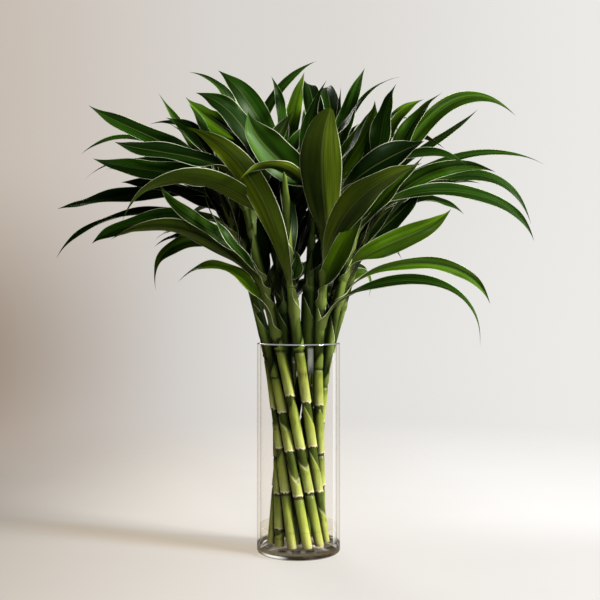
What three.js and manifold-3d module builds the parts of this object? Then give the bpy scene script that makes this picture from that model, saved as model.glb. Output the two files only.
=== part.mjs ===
// A bunch of fifteen lucky bamboo stalks standing in a little water in a clear glass cylinder.
// Millimetres, +Z up. The vase stands on the ground at the origin and its front looks along -Y.
import * as THREE from "three";
import { mergeVertices } from "three/addons/utils/BufferGeometryUtils.js";
import Module from "manifold-3d";

const wasm = await Module();
wasm.setup();

const GAP = 0.3; // left between pieces that touch
const VASE = { radius: 50, height: 250, wall: 3.5, floor: 10, foot: 2, sides: 36 };
const WATER = { surface: 30, sides: 36 };

// Each stalk leans round the bunch, so the stalks draw in to a waist inside the vase and open above it.
// bottom and rim are distances from the middle of the vase, twist is the lean between them in degrees.
const RINGS = [
  { count: 11, start: -90, twist: 85, bottom: 33, rim: 38, flare: 52, lip: 6.2, top: 440 },
  { count: 4, start: -60, twist: 40, bottom: 11.5, rim: 17, flare: 24, lip: 5.7, top: 455 },
];
const STRAY = { rim: 7, bottom: 12, inward: 2, seed: 60 }; // degrees and mm that a stalk strays from its ring
const LEAN = { easesOver: 200, flareFrom: 190, flareOver: 260 };
const CANE = { sides: 8, neck: 0.8, step: 0.4, joint: 200, jointStep: 11, pitch: 59, pitchStep: -4 };
const STEM = { sides: 7, bottom: 5.2, top: 3.4, bends: [262, 300, 345, 395] };

// A blade is a thin folded strip along a curve. Its widths are shares of its own length.
const BLADE = { thick: 0.8, fold: 0.22, clasp: 7, claspUntil: 0.35, tip: 0.6, point: 1.25, sunk: 1.5 };
const STATIONS = [0, 0.14, 0.32, 0.53, 0.76, 1];
const FLAT = { stations: [0, 0.28, 0.62, 1], clasp: 5, sunk: 0.5 }; // a filling leaf, simpler at its base
const CLEARANCE = { blade: 1.3, stem: 0.8, freeFrom: 0.35 };

// The place that the leaves below were sighted from: in front of the vase, at this distance and height.
const SIGHT = { distance: 1115, height: 300 };

// Leaves that the front view shows, the nearest first: stalk, height of the root on it, middle and tip as
// [across, depth, up] on the plane of the vase's axis, width, where it is widest, and its turn to the front,
// which is negative where the underside shows.
const SIGHTED = [
  [1, 345, [28, -130, 470], [39, -160, 533], 46, 0.66, -0.95],
  [0, 275, [-63, -115, 455], [-136, -95, 510], 28, 0.62, -0.8],
  [11, 405, [-39, -75, 486], [-61, -85, 529], 42, 0.58, 0.9],
  [11, 400, [-37, -115, 464], [-72, -135, 445], 16, 0.5, -0.5],
  [0, 345, [-131, -125, 448], [-213, -125, 395], 25, 0.5, -0.5],
  [1, 320, [77, -140, 427], [149, -145, 466], 33, 0.6, -0.8],
  [1, 290, [57, -95, 370], [80, -100, 416], 26, 0.5, 0.8],
  [0, 315, [-1, -75, 340], [-7, -85, 364], 14, 0.5, 0.9],
  [10, 285, [-119, -75, 378], [-226, -80, 374], 25, 0.5, -0.5],
  [10, 255, [-92, -70, 341], [-145, -60, 323], 20, 0.5, 0.5],
  [1, 262, [146, -75, 324], [219, -100, 247], 16, 0.5, 0.5],
  [2, 290, [152, -20, 345], [231, -20, 296], 17, 0.62, 0.7],
  [2, 320, [131, -40, 378], [184, -40, 411], 27, 0.52, 0.9],
  [1, 400, [108, -85, 472], [152, -80, 493], 34, 0.6, 0.75],
  [11, 380, [15, -50, 512], [34, -55, 566], 24, 0.55, 0.85],
  [11, 310, [36, -50, 374], [57, -50, 406], 22, 0.5, 0.6],
  [10, 425, [-167, -75, 480], [-222, -80, 492], 26, 0.5, 0.6],
  [10, 400, [-173, -60, 457], [-248, -70, 472], 28, 0.5, 0.7],
  [9, 425, [-189, -30, 503], [-253, -30, 536], 26, 0.5, 0.7],
  [9, 370, [-173, -25, 398], [-249, -20, 369], 27, 0.5, 0.6],
  [10, 320, [-101, -80, 383], [-167, -60, 441], 18, 0.5, 0.7],
  [10, 305, [-73, -85, 361], [-113, -70, 428], 14, 0.5, 0.6],
  [9, 345, [-134, 0, 372], [-172, 0, 313], 20, 0.5, 0.8],
  [8, 380, [-155, 10, 435], [-214, 20, 443], 22, 0.5, 0.5],
  [8, 400, [-203, 20, 428], [-291, 20, 411], 25, 0.5, 0.6],
  [8, 365, [-245, 30, 392], [-292, 30, 351], 16, 0.5, 0.4],
  [7, 370, [-179, 80, 455], [-233, 90, 459], 20, 0.5, 0.4],
  [7, 395, [-227, 60, 465], [-257, 60, 447], 16, 0.5, 0.4],
  [8, 430, [-225, 50, 495], [-262, 50, 477], 14, 0.5, 0.4],
  [8, 340, [-149, 40, 378], [-174, 40, 365], 14, 0.5, 0.4],
  [14, 420, [-92, -35, 536], [-124, -35, 551], 30, 0.58, 0.7],
  [14, 445, [-110, 0, 521], [-136, 0, 546], 32, 0.6, 0.8],
  [9, 435, [-131, 0, 506], [-160, 0, 521], 26, 0.5, 0.6],
  [13, 430, [-58, 10, 536], [-97, 10, 578], 32, 0.58, 0.8],
  [7, 430, [-92, 60, 554], [-132, 60, 576], 20, 0.5, 0.4],
  [8, 435, [-149, 60, 521], [-169, 60, 551], 16, 0.5, 0.6],
  [7, 435, [-21, 80, 557], [21, 80, 589], 16, 0.5, 0.3],
  [13, 450, [-21, 30, 528], [-33, 30, 571], 16, 0.5, 0.5],
  [6, 435, [-5, 80, 533], [7, 80, 576], 22, 0.58, 0.8],
  [8, 425, [-155, 90, 516], [-180, 90, 513], 14, 0.5, 0.4],
  [12, 420, [77, -20, 494], [92, -25, 542], 34, 0.5, 0.9],
  [12, 440, [62, 15, 536], [80, 15, 581], 22, 0.5, 0.7],
  [2, 435, [104, -50, 524], [118, -50, 562], 26, 0.5, 0.7],
  [5, 435, [86, 80, 552], [122, 80, 570], 12, 0.5, 0.3],
  [12, 450, [49, 40, 528], [51, 40, 558], 10, 0.5, 0.3],
  [4, 430, [114, 50, 516], [151, 50, 543], 25, 0.5, 0.7],
  [3, 430, [140, 0, 518], [173, 0, 551], 22, 0.5, 0.7],
  [3, 390, [216, 10, 546], [262, 10, 523], 22, 0.5, 0.8],
  [4, 400, [171, 60, 496], [216, 60, 531], 13, 0.5, 0.5],
  [2, 355, [110, -60, 431], [151, -50, 475], 18, 0.5, 0.6],
  [3, 340, [125, 15, 410], [151, 15, 442], 28, 0.5, 0.8],
  [4, 370, [183, 50, 470], [295, 50, 465], 15, 0.5, 0.6],
  [3, 370, [171, -10, 458], [238, -15, 455], 22, 0.5, 0.8],
  [2, 375, [204, -40, 430], [284, -40, 372], 20, 0.5, 0.6],
  [4, 340, [233, 70, 448], [280, 70, 393], 16, 0.62, 0.8],
  [4, 300, [79, 50, 334], [85, 50, 305], 14, 0.5, 0.7],
];
// Where a sighted leaf would touch another, it slides along the line of sight by the first that is free.
const SLIDES = [0, 12, -12, 24, -24, 36, -36, 50, -50, 65, -65];

// The other leaves fill the middle and the back by a rule. Each stalk has about this many leaves in all.
const FILL = { leaves: 14, least: 7, lowest: 275, belowTop: 8, golden: 137.5, waver: 40 };
const SPREADING = {
  length: 165, longer: 60, lean: 28, leanLower: 42, droop: 30, droopMore: 25, width: 22, wider: 12,
};
const UPRIGHT = {
  length: 150, longer: 60, lean: 10, leanLower: 16, droop: 10, droopMore: 16, width: 24, wider: 10,
};
const FILL_INWARD = 0.45; // share of the lean that is left on a leaf that points into the bunch
const SWINGS = [0, 25, -25, 50, -50, 75, -75, 100, -100, 130, -130, 160]; // degrees, tried in turn
const CROWN = { across: 225, up: 132, middle: 432, nearest: -60, reach: 235 };

const UP = new THREE.Vector3(0, 0, 1);
const radians = THREE.MathUtils.degToRad;
const clamp = THREE.MathUtils.clamp;
const smooth = (from, to, x) => THREE.MathUtils.smoothstep(x, from, to);
const polar = (radius, degrees) => new THREE.Vector2(Math.cos(radians(degrees)), Math.sin(radians(degrees)))
  .multiplyScalar(radius);

// Numbers between 0 and 1 that are the same at every run: a linear congruence started from the two counts.
function draws(stalk, leaf) {
  let state = (stalk * 977 + leaf * 131 + 17) >>> 0;
  return () => {
    state = (Math.imul(state, 1664525) + 1013904223) >>> 0;
    return state / 4294967296;
  };
}

function makeStalks() {
  return RINGS.flatMap((ring) => Array.from({ length: ring.count }, (_, i) => {
    const draw = draws(ring.count + i, STRAY.seed);
    const even = ring.start + (i * 360) / ring.count;
    const angle = even + STRAY.rim * (draw() - 0.5);
    return {
      ...ring,
      bottomAt: polar(ring.bottom - STRAY.inward * draw(), even + ring.twist + STRAY.bottom * (draw() - 0.5)),
      rimAt: polar(ring.rim, angle),
      outward: polar(1, angle),
      angle,
    };
  })).map((stalk, number) => ({
    ...stalk,
    number,
    joint: CANE.joint + CANE.jointStep * ((number * 3 + 4) % 5),
    pitch: CANE.pitch + CANE.pitchStep * ((number * 7) % 5),
  }));
}

// The axis of a stalk: straight from the floor to the rim, then it stops going round and flares outward.
function axisAt(stalk, z) {
  const { easesOver, flareFrom, flareOver } = LEAN;
  const over = clamp((z - VASE.height) / easesOver, 0, 1);
  const rise = VASE.height - VASE.floor;
  const along = z < VASE.height ? (z - VASE.floor) / rise : 1 + (easesOver / rise) * (over - over * over / 2);
  const flare = stalk.flare * Math.max((z - flareFrom) / flareOver, 0) ** 2;
  const flat = stalk.bottomAt.clone().lerp(stalk.rimAt, along).addScaledVector(stalk.outward, flare);
  return new THREE.Vector3(flat.x, flat.y, z);
}

// Closed surface through rings of equal point counts. On a blade the quads of its lower face take the other
// diagonal, so that both of its faces are split alike.
function skin(rings, caps, isBlade = false) {
  const n = rings[0].length;
  const positions = rings.flat().flatMap((p) => [p.x, p.y, p.z]);
  const index = [];
  for (let i = 0; i + 1 < rings.length; i++) {
    for (let j = 0; j < n; j++) {
      const [a, b] = [i * n + j, i * n + ((j + 1) % n)];
      const [c, d] = [b + n, a + n];
      if (isBlade && j >= n / 2 && j < n - 1) {
        index.push(a, b, d, b, c, d);
      } else {
        index.push(a, b, c, a, c, d);
      }
    }
  }
  const last = (rings.length - 1) * n;
  for (const [a, b, c] of caps) {
    index.push(c, b, a, last + a, last + b, last + c);
  }
  const geometry = new THREE.BufferGeometry();
  geometry.setAttribute("position", new THREE.Float32BufferAttribute(positions, 3));
  geometry.setIndex(index);
  return geometry;
}

// Upright round rod: a ring of points round the axis at each of the given heights and radii.
function rod(stalk, levels, sides) {
  const rings = levels.map(([z, radius]) => Array.from({ length: sides }, (_, j) => {
    const spoke = polar(radius, (j * 360) / sides);
    return axisAt(stalk, z).add(new THREE.Vector3(spoke.x, spoke.y, 0));
  }));
  const caps = Array.from({ length: sides - 2 }, (_, j) => [0, j + 1, j + 2]);
  return skin(rings, caps);
}

// Heights and radii of a cane: each joint has a lip, and the cane narrows from it to the neck under the next.
function caneLevels(stalk, wider = 0) {
  const neck = stalk.lip - CANE.neck + wider;
  const joints = [];
  for (let z = stalk.joint - stalk.pitch; z > VASE.floor + CANE.pitch / 4; z -= stalk.pitch) {
    joints.unshift(z);
  }
  const steps = joints.flatMap((z) => [[z - CANE.step, neck], [z + CANE.step, stalk.lip + wider]]);
  return [[VASE.floor + GAP, neck], ...steps, [stalk.joint, neck]];
}

function stemLevels(stalk, wider = 0) {
  const from = stalk.joint + GAP;
  return [from, ...STEM.bends, stalk.top].map((z) => {
    const share = (z - from) / (stalk.top - from);
    return [z, STEM.bottom + (STEM.top - STEM.bottom) * share + wider];
  });
}

// A point seen at (across, up) on the plane of the vase's axis, moved along the line of sight to its depth.
function sighted([across, depth, up], slide) {
  const scale = (SIGHT.distance + depth + slide) / SIGHT.distance;
  return new THREE.Vector3(across * scale, depth + slide, SIGHT.height + (up - SIGHT.height) * scale);
}

// The leaf's midline: a cubic that leaves the stalk along its axis and passes the middle point to the tip.
function midline(leaf) {
  const root = axisAt(leaf.stalk, leaf.root);
  const along = axisAt(leaf.stalk, leaf.root + 2).sub(axisAt(leaf.stalk, leaf.root - 2)).normalize();
  const before = leaf.middle.distanceTo(root);
  const after = leaf.middle.distanceTo(leaf.tip);
  const m = before / (before + after);
  const handle = root.clone().addScaledVector(along, (before + after) * 0.3);
  const bend = leaf.middle.clone()
    .addScaledVector(root, -((1 - m) ** 3))
    .addScaledVector(handle, -3 * (1 - m) ** 2 * m)
    .addScaledVector(leaf.tip, -(m ** 3))
    .divideScalar(3 * (1 - m) * m * m);
  return new THREE.CubicBezierCurve3(root, handle, bend, leaf.tip);
}

// The upper side's direction on a blade that has no turn: up and back over the stalk.
function plainNormal(curve, t) {
  const ahead = curve.v3.clone().add(curve.getPoint(0.5)).sub(curve.v0).setZ(0).normalize();
  const side = UP.clone().cross(ahead);
  return curve.getTangent(t).cross(side).normalize();
}

// Angle in radians that would turn the blade's middle flat to the front, or to the back for its underside.
function turnToFront(curve, turn) {
  const tangent = curve.getTangent(0.5);
  const plain = plainNormal(curve, 0.5);
  const front = new THREE.Vector3(0, -Math.sign(turn), 0);
  front.addScaledVector(tangent, -front.dot(tangent));
  return Math.atan2(plain.clone().cross(front).dot(tangent), plain.dot(front));
}

// Width at a share t of the length: a clasping base, the widest place at leaf.widest, then a long point.
function widthAt(leaf, t) {
  const rise = (BLADE.point * leaf.widest) / (1 - leaf.widest);
  const swell = (t / leaf.widest) ** rise * ((1 - t) / (1 - leaf.widest)) ** BLADE.point;
  const clasp = (leaf.isFlat ? FLAT : BLADE).clasp * (1 - smooth(0, BLADE.claspUntil, t));
  return Math.max(leaf.width * swell, clasp, BLADE.tip * 2);
}

// The blade as rings of points: the upper face from left to right, then the lower face back. A sighted leaf
// is folded along its middle, so its rings have six points. A filling leaf is flat and has four.
function blade(leaf, thick, wider = 0, from = 0) {
  const curve = midline(leaf);
  const turn = Math.abs(leaf.turn) * turnToFront(curve, leaf.turn);
  const acrosses = leaf.isFlat ? [-1, 1] : [-1, 0, 1];
  const fold = leaf.isFlat ? 0 : BLADE.fold;
  const sunk = (leaf.isFlat ? FLAT : BLADE).sunk;
  const rings = (leaf.isFlat ? FLAT.stations : STATIONS).filter((t) => t >= from).map((t) => {
    const tangent = curve.getTangent(t);
    const normal = plainNormal(curve, t).applyAxisAngle(tangent, turn * smooth(0.08, 0.45, t));
    const side = tangent.clone().cross(normal);
    const half = widthAt(leaf, t) / 2 + wider;
    const centre = curve.getPoint(t).addScaledVector(normal, -sunk * (1 - smooth(0, 0.3, t)));
    const spot = (across, raised) => centre.clone()
      .addScaledVector(side, across * half)
      .addScaledVector(normal, Math.abs(across) * half * fold + raised);
    const upper = acrosses.map((across) => spot(across, thick / 2));
    const lower = acrosses.map((across) => spot(-across, -thick / 2));
    return [...upper, ...lower];
  });
  const caps = leaf.isFlat ? [[0, 1, 3], [1, 2, 3]] : [[0, 1, 5], [1, 4, 5], [1, 2, 4], [2, 3, 4]];
  return skin(rings, caps, true);
}

function solid(geometry) {
  const bare = geometry.clone();
  bare.deleteAttribute("normal");
  bare.deleteAttribute("uv");
  const merged = mergeVertices(bare, 1e-4);
  return new wasm.Manifold(new wasm.Mesh({
    numProp: 3,
    vertProperties: new Float32Array(merged.attributes.position.array),
    triVerts: new Uint32Array(merged.index.array),
  }));
}

function toGeometry(manifold) {
  const { vertProperties, triVerts } = manifold.getMesh();
  const geometry = new THREE.BufferGeometry();
  geometry.setAttribute("position", new THREE.BufferAttribute(new Float32Array(vertProperties), 3));
  geometry.setIndex(new THREE.BufferAttribute(new Uint32Array(triVerts), 1));
  return geometry;
}

// Fuses bodies into one and keeps its outer skin: a hollow that the fusing seals is filled.
function fuse(bodies) {
  const shells = wasm.Manifold.union(bodies).decompose();
  return shells.reduce((most, shell) => (shell.volume() > most.volume() ? shell : most));
}

const boxOf = (geometry) => new THREE.Box3().setFromBufferAttribute(geometry.attributes.position);

// A body that others must not touch, with its box for a quick look first.
function obstacle(geometry, stalk) {
  return { box: boxOf(geometry), body: solid(geometry), stalk };
}

function touches(a, b) {
  return a.box.intersectsBox(b.box) && a.body.intersect(b.body).volume() > 0;
}

// Guards round a leaf: the whole blade for other stalks' pieces, the part past its base for its own leaves.
function guardsOf(leaf) {
  const thick = 2 * CLEARANCE.blade;
  return {
    whole: obstacle(blade(leaf, thick, 1), leaf.stalk.number),
    free: obstacle(blade(leaf, thick, 1, CLEARANCE.freeFrom), leaf.stalk.number),
  };
}

function isClear(guards, placed, stems) {
  const own = guards.whole.stalk;
  const hitsStem = stems.some((stem) => stem.stalk !== own && touches(guards.whole, stem));
  return !hitsStem && !placed.some((other) => (other.guards.whole.stalk === own
    ? touches(guards.free, other.guards.free)
    : touches(guards.whole, other.guards.whole)));
}

function sightedLeaf(stalks, row, slide) {
  const [number, root, middle, tip, width, widest, turn] = row;
  return {
    stalk: stalks[number],
    root,
    middle: sighted(middle, slide),
    tip: sighted(tip, slide),
    width,
    widest,
    turn,
  };
}

// A filling leaf leans more the lower its root is, less where it points into the bunch, and droops past its
// middle. Every second one is upright and stands in the middle of the crown.
function fillingLeaf(stalk, place, count, swing) {
  const shape = place % 2 ? UPRIGHT : SPREADING;
  const draw = draws(stalk.number, place);
  const azimuth = stalk.angle + FILL.golden * place + FILL.waver * (draw() - 0.5) + SWINGS[swing];
  const ahead = polar(1, azimuth);
  const lower = place / count;
  const lean = (shape.lean + shape.leanLower * lower) * (ahead.dot(stalk.outward) < 0 ? FILL_INWARD : 1);
  const droop = lean + shape.droop + shape.droopMore * draw();
  const half = (shape.length + shape.longer * draw()) / 2;
  const root = stalk.top - FILL.belowTop - (stalk.top - FILL.lowest) * lower;
  const step = (angle) => new THREE.Vector3(ahead.x, ahead.y, 0)
    .multiplyScalar(half * Math.sin(radians(angle)))
    .addScaledVector(UP, half * Math.cos(radians(angle)));
  const middle = axisAt(stalk, root).add(step(lean));
  const tip = middle.clone().add(step(droop));
  const width = shape.width + shape.wider * draw();
  return { stalk, root, middle, tip, width, widest: 0.5, turn: 0.2, isFlat: true };
}

// Filling leaves stay behind the sighted ones and inside the crown's outline as the front view shows it.
function isInCrown(point) {
  const scale = SIGHT.distance / (SIGHT.distance + point.y);
  const across = (point.x * scale) / CROWN.across;
  const up = (SIGHT.height + (point.z - SIGHT.height) * scale - CROWN.middle) / CROWN.up;
  return across ** 2 + up ** 2 < 1 && point.y > CROWN.nearest && Math.hypot(point.x, point.y) < CROWN.reach;
}

function placeLeaves(stalks, fixed) {
  const placed = [];
  const settle = (choices) => {
    for (const leaf of choices) {
      const guards = guardsOf(leaf);
      if (isClear(guards, placed, fixed)) {
        placed.push({ leaf, guards });
        return;
      }
    }
  };
  for (const row of SIGHTED) {
    settle(SLIDES.map((slide) => sightedLeaf(stalks, row, slide)));
  }
  for (const stalk of [...stalks].reverse()) {
    const shown = SIGHTED.filter(([number]) => number === stalk.number).length;
    const count = Math.max(FILL.leaves - shown, FILL.least);
    for (let place = 0; place < count; place++) {
      const choices = SWINGS.map((_, swing) => fillingLeaf(stalk, place, count, swing));
      settle(choices.filter((leaf) => isInCrown(leaf.middle) && isInCrown(leaf.tip)));
    }
  }
  return placed.map(({ leaf }) => leaf);
}

// Half outline of the glass, from the middle of the foot round the outside and the rim to the middle of the floor.
function vaseGeometry() {
  const { radius, height, wall, floor, foot, sides } = VASE;
  const inner = radius - wall;
  const rim = wall / 2;
  const outline = [
    [0, 0], [radius - foot, 0], [radius - foot * 0.3, foot * 0.3], [radius, foot],
    [radius, height - rim], [radius - rim * 0.4, height - rim * 0.3], [radius - rim, height],
    [inner + rim * 0.4, height - rim * 0.3], [inner, height - rim],
    [inner, floor + foot], [inner - foot * 0.3, floor + foot * 0.3], [inner - foot, floor], [0, floor],
  ];
  const points = outline.map(([r, z]) => new THREE.Vector2(r, z));
  return new THREE.LatheGeometry(points, sides).rotateX(Math.PI / 2);
}

// The shallow pool: a disc inside the glass with a plain hole for each cane.
function waterGeometry(stalks) {
  const radius = VASE.radius - VASE.wall - GAP;
  const depth = WATER.surface - VASE.floor - GAP;
  const chamfer = VASE.foot;
  const points = [[0, 0], [radius - chamfer, 0], [radius, chamfer], [radius, depth], [0, depth]];
  const disc = new THREE.LatheGeometry(points.map(([r, z]) => new THREE.Vector2(r, z)), WATER.sides)
    .rotateX(Math.PI / 2)
    .translate(0, 0, VASE.floor + GAP);
  return toGeometry(stalks.reduce((pool, stalk) => {
    const low = VASE.floor - 1;
    const wide = stalk.lip + GAP;
    return pool.subtract(solid(rod(stalk, [[low, wide], [WATER.surface + 1, wide]], CANE.sides)));
  }, solid(disc)));
}

function mesh(name, geometry, material) {
  const made = new THREE.Mesh(geometry, material.clone());
  made.name = name;
  return made;
}

const glass = new THREE.MeshStandardMaterial({
  color: 0xe6efec, roughness: 0.03, metalness: 0, transparent: true, opacity: 0.3,
});
const clearWater = new THREE.MeshStandardMaterial({
  color: 0xdfe9e4, roughness: 0.02, metalness: 0, transparent: true, opacity: 0.3,
});
const caneGreen = new THREE.MeshStandardMaterial({ color: 0x93a83c, roughness: 0.38, metalness: 0 });
const leafGreen = new THREE.MeshStandardMaterial({ color: 0x2f5a1c, roughness: 0.35, metalness: 0 });

function build() {
  const stalks = makeStalks();
  const vase = vaseGeometry();
  const fixed = [obstacle(vase, -1)];
  for (const stalk of stalks) {
    fixed.push(obstacle(rod(stalk, stemLevels(stalk, CLEARANCE.stem), STEM.sides), stalk.number));
  }
  const leaves = placeLeaves(stalks, fixed);
  const part = new THREE.Group();
  part.add(mesh("vase_glass", vase, glass), mesh("water", waterGeometry(stalks), clearWater));
  for (const stalk of stalks) {
    const label = `stalk_${String(stalk.number + 1).padStart(2, "0")}`;
    const own = leaves.filter((leaf) => leaf.stalk === stalk).map((leaf) => solid(blade(leaf, BLADE.thick)));
    const stem = solid(rod(stalk, stemLevels(stalk), STEM.sides));
    part.add(mesh(`${label}_cane`, rod(stalk, caneLevels(stalk), CANE.sides), caneGreen));
    part.add(mesh(`${label}_leaves`, toGeometry(fuse([stem, ...own])), leafGreen));
  }
  return part;
}

export default build();
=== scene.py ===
import math

import bpy
import numpy as np
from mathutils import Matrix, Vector


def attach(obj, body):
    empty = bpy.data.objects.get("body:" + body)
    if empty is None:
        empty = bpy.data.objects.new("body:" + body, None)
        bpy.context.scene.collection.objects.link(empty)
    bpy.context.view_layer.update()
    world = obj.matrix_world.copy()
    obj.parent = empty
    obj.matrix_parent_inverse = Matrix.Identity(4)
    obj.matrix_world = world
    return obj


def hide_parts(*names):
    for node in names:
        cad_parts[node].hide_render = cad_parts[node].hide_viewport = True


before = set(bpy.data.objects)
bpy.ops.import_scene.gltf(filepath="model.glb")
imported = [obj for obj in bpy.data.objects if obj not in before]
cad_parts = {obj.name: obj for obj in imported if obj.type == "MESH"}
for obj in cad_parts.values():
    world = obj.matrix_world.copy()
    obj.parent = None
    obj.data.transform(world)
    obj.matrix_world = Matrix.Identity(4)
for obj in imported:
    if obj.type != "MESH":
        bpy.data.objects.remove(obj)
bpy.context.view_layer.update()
mm = 0.001


# Smooth step: 0 below low, 1 above high, and 3s squared minus 2s cubed of the share s between them.
def smooth(low, high, x):
    share = np.clip((x - low) / (high - low), 0, 1)
    return share * share * (3 - 2 * share)


# From a to b by a share.
def mix(a, b, share):
    return a + (b - a) * share


# A vector divided by its length, along the last axis.
def unit(v):
    return v / np.linalg.norm(v, axis=-1, keepdims=True)


# Point on a circle: radius times cosine and sine of the angle.
def polar(radius, degrees):
    return radius * np.array([math.cos(math.radians(degrees)), math.sin(math.radians(degrees))])


# Quads of a grid of rows by columns whose first point is number first. A closed grid joins its last column to
# its first.
def gridQuads(rows, columns, first=0, closed=False):
    r, c = np.meshgrid(np.arange(rows - 1), np.arange(columns if closed else columns - 1), indexing="ij")
    a = first + r * columns + c
    b = first + r * columns + (c + 1) % columns
    return np.stack([a, b, b + columns, a + columns], axis=-1).reshape(-1, 4)


# A smooth-shaded mesh in metres from points in millimetres, faces, and named numbers at each point.
def makeObject(name, points, faces, numbers=None):
    data = bpy.data.meshes.new(name)
    data.from_pydata((points * mm).tolist(), [], faces)
    for label, values in (numbers or {}).items():
        data.attributes.new(label, "FLOAT", "POINT").data.foreach_set("value", np.asarray(values, np.float32))
    data.polygons.foreach_set("use_smooth", np.ones(len(data.polygons), bool))
    data.update()
    made = bpy.data.objects.new(name, data)
    bpy.context.scene.collection.objects.link(made)
    return made


# Points of a quarter or half round corner about (r, z), from one angle to another in degrees.
def corner(r, z, radius, start, end, steps=6):
    return [(r + radius * math.cos(math.radians(a)), z + radius * math.sin(math.radians(a)))
            for a in np.linspace(start, end, steps)]


# Turns an outline of (radius, height) round the Z axis: radius times cosine and sine at even angles. Its first
# and last points are the rims of flat round ends.
def lathe(name, outline, columns):
    outline = np.array(outline, float)
    turn = np.arange(columns) * math.tau / columns
    radius, height = outline[:, 0][:, None], outline[:, 1][:, None]
    points = np.stack([radius * np.cos(turn), radius * np.sin(turn), height + 0 * turn], axis=-1).reshape(-1, 3)
    faces = gridQuads(len(outline), columns, closed=True).tolist()
    last = (len(outline) - 1) * columns
    faces.append(list(range(columns))[::-1])
    faces.append(list(range(last, last + columns)))
    return makeObject(name, points, faces)


# Links a node's output to an input, or sets the input to a constant.
def put(tree, target, value):
    if isinstance(value, bpy.types.NodeSocket):
        tree.links.new(value, target)
    else:
        target.default_value = value


# A new node with its settings. An input is named with _ for each space in its label.
def addNode(tree, kind, settings=None, **inputs):
    made = tree.nodes.new(kind)
    for label, value in (settings or {}).items():
        setattr(made, label, value)
    for label, value in inputs.items():
        put(tree, made.inputs[label.replace("_", " ")], value)
    return made


# One arithmetic step on sockets or numbers.
def addMath(tree, operation, *values):
    made = addNode(tree, "ShaderNodeMath", {"operation": operation})
    for socket, value in zip(made.inputs, values):
        put(tree, socket, value)
    return made.outputs[0]


# Share of the way from low to high, smoothed and kept within 0 and 1.
def addStep(tree, value, low, high):
    made = addNode(tree, "ShaderNodeMapRange", {"interpolation_type": "SMOOTHSTEP"})
    for socket, number in zip(made.inputs, (value, low, high)):
        put(tree, socket, number)
    return made.outputs[0]


# From colour a to colour b by a share, or a times b where the blend says multiply.
def addMix(tree, share, a, b, blend="MIX"):
    made = addNode(tree, "ShaderNodeMix", {"data_type": "RGBA", "blend_type": blend})
    for socket, value in zip((made.inputs[0], made.inputs[6], made.inputs[7]), (share, a, b)):
        put(tree, socket, (*value, 1) if isinstance(value, tuple) else value)
    return made.outputs[2]


# From shader a to shader b by a share.
def addShaders(tree, share, a, b):
    made = addNode(tree, "ShaderNodeMixShader")
    for socket, value in zip(made.inputs, (share, a, b)):
        put(tree, socket, value)
    return made.outputs[0]


# A grey that multiplies a colour by one number.
def addGrey(tree, number):
    return addNode(tree, "ShaderNodeCombineColor", Red=number, Green=number, Blue=number).outputs[0]


# A number that the mesh holds at each point.
def addNumber(tree, name):
    return addNode(tree, "ShaderNodeAttribute", {"attribute_name": name}).outputs["Fac"]


# Noise in the object's own metres, stretched by a scale for each axis.
def addNoise(tree, scales, detail=3.0):
    place = addNode(tree, "ShaderNodeTexCoord").outputs["Object"]
    spread = addNode(tree, "ShaderNodeMapping", Scale=scales, Vector=place).outputs[0]
    return addNode(tree, "ShaderNodeTexNoise", Scale=1.0, Detail=detail, Vector=spread).outputs[0]


# An empty material and its node tree.
def newMaterial(name):
    made = bpy.data.materials.new(name)
    made.use_nodes = True
    made.node_tree.nodes.clear()
    return made, made.node_tree


# Joins the finished surface to the material's output.
def finishMaterial(tree, surface):
    tree.links.new(surface, addNode(tree, "ShaderNodeOutputMaterial").inputs[0])


# Gives a piece its material and body, and hides the CAD nodes that it stands for.
def addPiece(made, material, slot, *nodes):
    made.data.materials.append(material)
    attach(made, "root")
    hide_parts(*nodes)


# Where glass or water is, in metres, and how strongly it mirrors. A painted glint, a highlight that the glass gives
# off as light, is left, right, bottom and top, soft width and height, and strength.
clear = {
    "rimSoft": 0.0008, "wavesPerMetre": 30.0, "waveHeight": 0.0006, "edgeFrom": 0.62, "edgeFull": 0.9,
    "edgePower": 5.0, "edgeShine": 0.5, "wallShine": 0.004, "rimShine": 0.5, "frontFrom": -0.02, "frontFull": -0.03,
    "glintTop": 0.2, "paintedGlint": (1.0, 0.98, 0.95, 1),
}
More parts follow.
